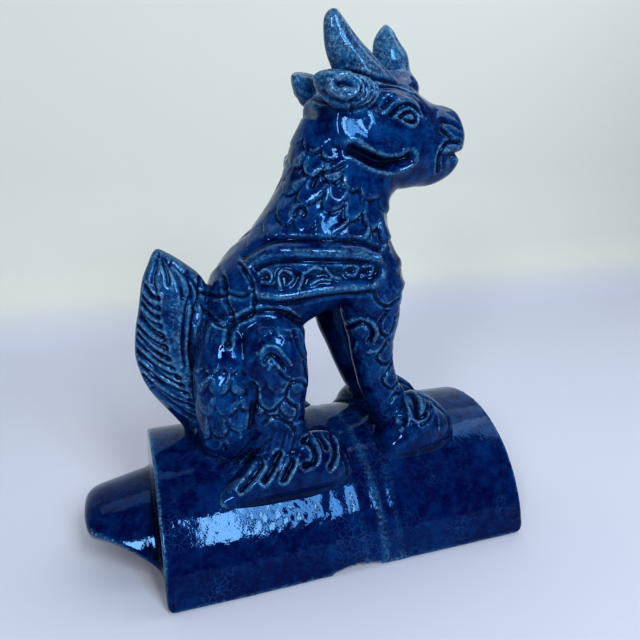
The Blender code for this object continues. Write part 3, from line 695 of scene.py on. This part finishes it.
def thin_glaze_and_shade(made, wanted, extra):
    """Brings a mesh down to the wanted triangles and keeps as an attribute where its glaze runs thinner over
    proud parts, and where hollows get thick glaze and painted shade.
    """
    mesh = made.data
    fine, _ = read_mesh(mesh)
    ends = np.empty(len(mesh.edges) * 2, int)
    mesh.edges.foreach_get("vertices", ends)
    ends = ends.reshape(-1, 2)
    degree = np.bincount(ends.ravel(), minlength=len(fine)).clip(1)
    soft = fine.copy()
    softest = []
    for turn in range(BODY_ROUNDS):
        total = np.empty_like(soft)
        for axis in range(3):
            total[:, axis] = np.bincount(ends[:, 0], soft[ends[:, 1], axis], len(fine))
            total[:, axis] += np.bincount(ends[:, 1], soft[ends[:, 0], axis], len(fine))
        soft = 0.4 * soft + 0.6 * total / degree[:, None]
        if turn + 1 in (EDGE_ROUNDS, BODY_ROUNDS):
            softest.append(soft)
    flat = np.empty(len(fine) * 3)
    mesh.vertices.foreach_get("normal", flat)
    edge, proud = (np.einsum("ij,ij->i", fine - soft, flat.reshape(-1, 3)) for soft in softest)
    # Hollows score low, for thick glaze and painted shade; proud parts score high, for thinner glaze.
    thinness_and_shade = np.clip(0.5 + 0.75 * proud + 0.8 * edge + extra, 0, THINNEST)
    tree = KDTree(len(fine))
    for i, point in enumerate(fine):
        tree.insert(point, i)
    tree.balance()
    mesh.calc_loop_triangles()
    fewer = made.modifiers.new("fewer faces", "DECIMATE")
    fewer.ratio = min(1.0, wanted / len(mesh.loop_triangles))
    fewer.use_collapse_triangulate = True
    settle(made)
    left, _ = read_mesh(made.data)
    layer = made.data.attributes.new("thin_glaze_and_shade", "FLOAT", "POINT")
    layer.data.foreach_set("value", np.array([thinness_and_shade[tree.find(point)[1]] for point in left], np.float32))


pale_tail = np.clip((-62 - x) / 12, 0, 1) * np.clip((z - 72) / 14, 0, 1)
pale_horn = np.clip((z - 238) / 16, 0, 1)
pale_ear = (np.abs(y) > 16) * (z > 223) * (x < 28)
# Thick glaze and painted shade round the feet: the ring where the beast meets the tile is made darker.
pooled_glaze_and_feet_shade = 0.4 * np.exp(-((over_tile / 3.5) ** 2))
thin_glaze_and_shade(beast, BEAST_TRIANGLES, 0.2 * pale_tail + 0.5 * pale_horn + 0.3 * pale_ear - pooled_glaze_and_feet_shade)


# The glaze: one cobalt glaze over beast and tile. It runs thinner and pale over what stands proud, and
# gathers dark in grooves and round the feet, where painted shade darkens it further. It is speckled, flecked
# and finely crazed.
class Wire:
    """A socket in the glaze's nodes. Sums written on it add Math nodes."""

    def __init__(self, tree, socket):
        self.tree, self.socket = tree, socket

    def sum(self, operation, first, second):
        return node(self.tree, "ShaderNodeMath", {"operation": operation}, {0: first, 1: second})

    def __add__(self, other):
        return self.sum("ADD", self, other)

    def __sub__(self, other):
        return self.sum("SUBTRACT", self, other)

    def __rsub__(self, other):
        return self.sum("SUBTRACT", other, self)

    def __mul__(self, other):
        return self.sum("MULTIPLY", self, other)

    __radd__, __rmul__ = __add__, __mul__

    def between(self, low, high):
        """0 below low, 1 above high, smooth between."""
        settings = {"interpolation_type": "SMOOTHSTEP"}
        return node(self.tree, "ShaderNodeMapRange", settings, {0: self, 1: low, 2: high})


def node(tree, kind, settings, values, output=0):
    """Any node: its settings first, then the values or wires of its sockets."""
    made = tree.nodes.new(kind)
    for name, value in settings.items():
        setattr(made, name, value)
    for key, value in values.items():
        socket = made.inputs[key]
        if isinstance(value, Wire):
            tree.links.new(value.socket, socket)
        else:
            socket.default_value = value
    return Wire(tree, made.outputs[output])


def blend(tree, share, first, second):
    """Mix of two colours."""
    return node(tree, "ShaderNodeMix", {"data_type": "RGBA"}, {0: share, 6: first, 7: second}, 2)


glaze = bpy.data.materials.new("cobalt_glaze")
glaze.use_nodes = True
tree = glaze.node_tree
shader = tree.nodes["Principled BSDF"]
here = node(tree, "ShaderNodeTexCoord", {}, {}, "Object")
thinness_and_shade = node(tree, "ShaderNodeAttribute", {"attribute_name": "thin_glaze_and_shade"}, {}, "Fac")


def cloud(scale, detail, roughness=0.5, distortion=0.0, where=None):
    """Soft noise over the piece."""
    values = {"Vector": where or here, "Scale": scale, "Detail": detail}
    values |= {"Roughness": roughness, "Distortion": distortion}
    return node(tree, "ShaderNodeTexNoise", {}, values, "Fac")


def vector(operation, first, second):
    """Sum or product of two vectors."""
    return node(tree, "ShaderNodeVectorMath", {"operation": operation}, {0: first, 1: second})


DEEP_COBALT = (0.0002, 0.0018, 0.054, 1)
COBALT = (0.0003, 0.0250, 0.120, 1)
BRIGHT_COBALT = (0.0008, 0.070, 0.210, 1)
GROOVE_POOL_AND_SHADE = (0.0003, 0.0020, 0.014, 1)
THIN_COBALT = (0.018, 0.120, 0.24, 1)
PALE_FLECK = (0.17, 0.28, 0.38, 1)
STAR_SPECK = (0.30, 0.42, 0.52, 1)
CRAZE_LINE = (0.03, 0.12, 0.27, 1)
HORN_GREY_AND_RIDGE_HIGHLIGHT = (0.19, 0.31, 0.42, 1)

# Colours by depth: deep and mottled glaze, darkened low down as painted shade, then grooves with thick glaze
# and painted shade, rubbed edges, grit, flecks, specks, crazing, and grey horns with painted ridge
# highlights.
up_here = node(tree, "ShaderNodeSeparateXYZ", {}, {0: here}, "Z")
# Painted shade: below about 35 to 85 mm the piece gets less of the lighter cobalts, broken up by the glaze
# runs.
painted_low_shade = 1 - up_here.between(0.035, 0.085)
runs = cloud(95, 3, 0.5, 0.4, vector("MULTIPLY", here, (1.0, 0.3, 0.14))).between(0.40, 0.64)
deep_mottle_and_low_shade = cloud(38, 4, 0.6).between(0.35, 0.68) * (1 - painted_low_shade * 0.75 * (1 - runs * 0.7))
mottle = cloud(150, 6, 0.72).between(0.40, 0.66)
speck = cloud(950, 3, 0.6).between(0.60, 0.72)
fleck = cloud(420, 4, 0.7, 0.6).between(0.56, 0.70)
grit = cloud(620, 5, 0.75).between(0.47, 0.64)
astray = node(tree, "ShaderNodeTexNoise", {}, {"Vector": here, "Scale": 140.0}, "Color")
cells = {"Vector": vector("ADD", here, vector("MULTIPLY", astray, (0.006, 0.006, 0.006))), "Scale": 300.0}
crack = node(tree, "ShaderNodeTexVoronoi", {"feature": "DISTANCE_TO_EDGE"}, cells, "Distance")
craze = (1 - crack.between(0.015, 0.07)) * cloud(45, 3).between(0.48, 0.62)
colour = blend(tree, deep_mottle_and_low_shade, DEEP_COBALT, COBALT)
colour = blend(tree, mottle * (0.75 - painted_low_shade * 0.55), colour, BRIGHT_COBALT)
# Grooves and hollows turn near-black navy: thick glaze there, with painted shade.
colour = blend(tree, (1 - thinness_and_shade.between(0.12, 0.46)) * 0.85, colour, GROOVE_POOL_AND_SHADE)
rubbed = thinness_and_shade.between(0.58, 1.0)
colour = blend(tree, rubbed * (0.25 + 0.6 * mottle), colour, THIN_COBALT)
colour = blend(tree, (0.02 + rubbed * 0.55) * grit, colour, PALE_FLECK)
colour = blend(tree, (0.035 + rubbed * 0.4) * fleck, colour, PALE_FLECK)
colour = blend(tree, (0.03 + rubbed * 0.7) * speck, colour, STAR_SPECK)
colour = blend(tree, craze * 0.3, colour, CRAZE_LINE)
# Grey glaze on the horns, and painted highlights on the sharpest ridges elsewhere.
colour = blend(tree, thinness_and_shade.between(0.9, 1.4) * (0.15 + 0.45 * grit), colour, HORN_GREY_AND_RIDGE_HIGHLIGHT)
tree.links.new(colour.socket, shader.inputs["Base Color"])
tree.links.new((0.04 + 0.08 * speck + 0.04 * mottle).socket, shader.inputs["Roughness"])
shader.inputs["IOR"].default_value = 1.50
shader.inputs["Specular Tint"].default_value = (0.25, 0.52, 0.85, 1)
skin_height = cloud(120, 3) * 0.5 + cloud(520, 3) * 0.10
bump = node(tree, "ShaderNodeBump", {}, {"Strength": 0.35, "Distance": 0.0012, "Height": skin_height})
tree.links.new(bump.socket, shader.inputs["Normal"])


def dress(made):
    """Gives a finished mesh the glaze and fixes it to the piece."""
    made.data.materials.clear()
    made.data.materials.append(glaze)
    made.data.shade_smooth()
    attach(made, "root")
    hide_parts("ridge_beast")


dress(beast)


# The tile: a half-round cover tile of the same stoneware, pressed over a former and trimmed at both ends.
# Its rear end is closed down to a neck, from which the tapered tongue runs under the next tile.
TILE_LENGTH = 192
TILE_WALL = 13
LAP_GAP = 7
SHOULDER_STEP = 0.5
NECK_LENGTH = 14
TONGUE_LENGTH = 35
TONGUE_WALL = 9
TONGUE_ROOT_SPREAD = 80
TONGUE_TIP_SPREAD = 39
TONGUE_SPREAD_POWER = 0.8
TONGUE_NARROWING = 0.3
TONGUE_STRAIGHT_SHARE = 0.6
TONGUE_DROP_POWER = 14
TONGUE_ROUNDING_POWER = 30
TONGUE_END_SHARE = 0.997
TONGUE_STEPS = 24
ARC_HALF = 20
ROUND_STEPS = 72
CORNER_ROUNDING = 5.5
WAVINESS = 0.16
CHIP_MIDDLE = -2
CHIP_REACH = 14
CHIP_DEPTH = 3.2
NEAR_EDGE = -55.5
TILE_GRAIN = 1.0
TILE_SOFTENING = 10
TILE_TRIANGLES = 120000


def half_round(x, half_width, crown, foot_z):
    """Half-round section across the tile, with its feet at foot_z."""
    ring = [place(x, -half_width, foot_z)]
    for i in range(1, ROUND_STEPS):
        angle = math.pi * i / ROUND_STEPS
        ring.append(place(x, -half_width * math.cos(angle), crown * math.sin(angle)))
    ring.append(place(x, half_width, foot_z))
    return ring


clay = bmesh.new()
rear, fore = -TILE_LENGTH / 2, TILE_LENGTH / 2
skin(clay, [half_round(end, TILE_HALF_WIDTH, TILE_CROWN, 0) for end in (rear, fore)])
tile = as_object("barrel_tile", clay)
clay = bmesh.new()
inset = TILE_WALL + LAP_GAP
bore = (TILE_HALF_WIDTH - TILE_WALL, TILE_CROWN - TILE_WALL, -TILE_WALL)
narrower = inset + TONGUE_WALL + SHOULDER_STEP
neck_bore = (TILE_HALF_WIDTH - narrower, TILE_CROWN - narrower, -TILE_WALL)
shoulder = rear + NECK_LENGTH
rings = [half_round(fore + TILE_WALL, *bore), half_round(shoulder, *bore)]
rings += [half_round(shoulder - TONGUE_WALL / 2, *neck_bore), half_round(rear - TILE_WALL, *neck_bore)]
skin(clay, rings)
hollow = as_object("hollow", clay)
clay = bmesh.new()
rings = []
for step in range(-1, TONGUE_STEPS + 1):
    share = math.sin(math.pi / 2 * max(step, 0) / TONGUE_STEPS) * TONGUE_END_SHARE
    px = rear + NECK_LENGTH / 4 if step < 0 else rear - TONGUE_LENGTH * share
    drawn = TONGUE_ROOT_SPREAD - (TONGUE_ROOT_SPREAD - TONGUE_TIP_SPREAD) * share**TONGUE_SPREAD_POWER
    spread = math.radians(drawn) * math.sqrt(1 - share**TONGUE_ROUNDING_POWER)
    drop = TONGUE_STRAIGHT_SHARE * share + (1 - TONGUE_STRAIGHT_SHARE) * share**TONGUE_DROP_POWER
    narrow = 1 - TONGUE_NARROWING * drop
    ring = []
    for wall in (0, TONGUE_WALL):
        arc = []
        for i in range(2 * ARC_HALF + 1):
            angle = spread * (i / ARC_HALF - 1)
            py = ((TILE_HALF_WIDTH - inset) * narrow - wall) * math.sin(angle)
            arc.append(place(px, py, ((TILE_CROWN - inset) * narrow - wall) * math.cos(angle)))
        ring += arc if wall == 0 else reversed(arc)
    rings.append(ring)
skin(clay, rings)
tongue = as_object("tongue", clay)
for operation, other in (("DIFFERENCE", hollow), ("UNION", tongue)):
    step = tile.modifiers.new(operation, "BOOLEAN")
    step.operation = operation
    step.solver = "EXACT"
    step.object = other
settle(tile)
bpy.data.objects.remove(hollow)
bpy.data.objects.remove(tongue)
fuse(tile, TILE_GRAIN, TILE_SOFTENING)
points, normals = read_mesh(tile.data)
x, y, z = points.T

# The barrel is trued to its half round. The glaze's waves, runs and drops lie on it. The ends of its feet
# are rounded, and its near edge is chipped.
reach = np.hypot(y / TILE_HALF_WIDTH, z / TILE_CROWN)
barrel = (np.abs(reach - 1) * TILE_CROWN < 0.7) & (np.abs(x) < fore - 4) & (z > 4)
points[barrel, 1:] /= reach[barrel, None]
wave = np.zeros(len(points))
TILE_WAVES = [(0.05, 0.04, 0.06, 0.3), (0.09, -0.07, 0.05, 1.7)]
TILE_WAVES += [(-0.16, 0.11, 0.13, 4.1), (0.31, 0.22, -0.24, 2.2)]
for k, (along, across, up, phase) in enumerate(TILE_WAVES):
    wave += np.sin(along * x + across * y + up * z + phase) / (1 + 1.6 * k)
ripples = 0.55 * np.sin(x / 1.6 + 0.02 * z) + 0.5 * np.sin(x / 2.9 + 1)
glaze_runs = np.exp(-(((x - 6) / 32) ** 2)) * ripples
dapple = 0.5 * np.sin(x / 1.1 + 1.3 * np.sin(z / 3)) * np.sin(z / 1.3 + 0.8 * np.sin(x / 4))
wave += (1.1 * glaze_runs + dapple * np.exp(-(((x + 34) / 18) ** 2))) * (np.abs(normals[:, 0]) < 0.5)
points += normals * (WAVINESS * wave)[:, None]
past_end = np.clip(np.abs(x) - (fore - CORNER_ROUNDING), 0, None)
past_foot = np.clip(CORNER_ROUNDING - z, 0, None)
beyond = np.hypot(past_end, past_foot)
corner = (past_end > 0) & (past_foot > 0) & (beyond > CORNER_ROUNDING)
drawn_in = 1 - CORNER_ROUNDING / beyond[corner]
points[corner, 0] -= np.sign(x[corner]) * past_end[corner] * drawn_in
points[corner, 2] += past_foot[corner] * drawn_in
rough = 0.5 * np.sin(x * 1.9) + 0.35 * np.sin(x * 3.7 + 1) + 0.3 * np.sin(x * 0.9 + 2)
chip = np.clip(1 - np.abs(x - CHIP_MIDDLE) / CHIP_REACH, 0, 1) ** 0.6
chip *= (CHIP_DEPTH + rough) * (y < NEAR_EDGE)
points[:, 2] += chip * np.clip(1 - z / 7, 0, 1)
points[:, 1] += 0.35 * chip * np.clip(1 - z / 9, 0, 1)
write_mesh(tile.data, points)

# The glaze is thin on the chip and where it ran down between the feet, and thick at the ends of the feet.
streaks = 0.7 + 0.16 * np.sin(x / 1.7 + 0.05 * z) + 0.16 * np.sin(x / 3.3 + 2 + 0.06 * z)
run_down = 0.3 * np.exp(-(((x - 13) / 17) ** 2)) * streaks
dark_ends = 0.5 * (np.abs(x) > fore - 4) * np.clip(1 - z / 26, 0, 1)
thin_glaze_and_shade(tile, TILE_TRIANGLES, 0.5 * (chip > 0.8) * (z < 2.5) + run_down - 0.06 - dark_ends)
dress(tile)


# The ground: a plain pale floor that curves up at the back. Two tall window panes in front, a window at
# either side and a broad panel overhead light it softly.
FLOOR_HALF_WIDTH = 3.0
FLOOR_PROFILE = [(-2.5, 0), (0.30, 0), (0.40, 0.004), (0.46, 0.03), (0.50, 0.09), (0.52, 0.2), (0.53, 2.5)]
FLOOR_COLOUR = (0.60, 0.62, 0.715, 1)
BACK_COLOUR = (0.70, 0.715, 0.67, 1)
sweep = bmesh.new()
rows = []
for px in (-FLOOR_HALF_WIDTH, FLOOR_HALF_WIDTH):
    rows.append([sweep.verts.new((px, py, pz)) for py, pz in FLOOR_PROFILE])
for i in range(len(FLOOR_PROFILE) - 1):
    sweep.faces.new((rows[0][i], rows[1][i], rows[1][i + 1], rows[0][i + 1]))
ground = as_object("ground", sweep)
ground.location.z = -0.0002
ground.data.shade_smooth()
floor = bpy.data.materials.new("pale_floor")
floor.use_nodes = True
tree = floor.node_tree
shader = tree.nodes["Principled BSDF"]
here = node(tree, "ShaderNodeTexCoord", {}, {}, "Object")
apart = node(tree, "ShaderNodeSeparateXYZ", {}, {0: here}, "Z")
colour = blend(tree, apart.between(0.01, 0.06), FLOOR_COLOUR, BACK_COLOUR)
tree.links.new(colour.socket, shader.inputs["Base Color"])
shader.inputs["Roughness"].default_value = 0.9
ground.data.materials.append(floor)


def window(name, where, towards, wide, high, power, colour=(1, 1, 1)):
    """A soft rectangular light that faces a point."""
    lamp = bpy.data.lights.new(name, "AREA")
    lamp.shape = "RECTANGLE"
    lamp.size, lamp.size_y, lamp.energy, lamp.color = wide, high, power, colour
    made = bpy.data.objects.new(name, lamp)
    facing = (Vector(towards) - Vector(where)).to_track_quat("-Z", "Y").to_matrix().to_4x4()
    made.matrix_world = Matrix.Translation(where) @ facing
    bpy.context.scene.collection.objects.link(made)


window("left_pane", (0.105, -0.95, 0.70), (0, -0.03, 0.09), 0.13, 0.56, 3.9)
window("right_pane", (0.262, -0.925, 0.70), (0, -0.03, 0.09), 0.13, 0.56, 2.7, (0.70, 0.87, 1))
window("side_window", (-0.62, -0.86, 0.58), (0, -0.03, 0.16), 0.20, 0.30, 3.7)
window("overhead_panel", (0.1, 0.44, 1.05), (0, -0.1, 0.1), 1.6, 0.9, 4.5)
window("right_window", (0.75, 0, 0.9), (0.55, 0.52, 0.35), 0.5, 0.5, 1.3)
sky = bpy.data.worlds.new("soft_daylight")
sky.use_nodes = True
sky.node_tree.nodes["Background"].inputs["Color"].default_value = (0.78, 0.88, 1.0, 1)
sky.node_tree.nodes["Background"].inputs["Strength"].default_value = 0.18
bpy.context.scene.world = sky
bpy.context.scene.view_settings.view_transform = "Standard"
bpy.context.scene.view_settings.look = "High Contrast"
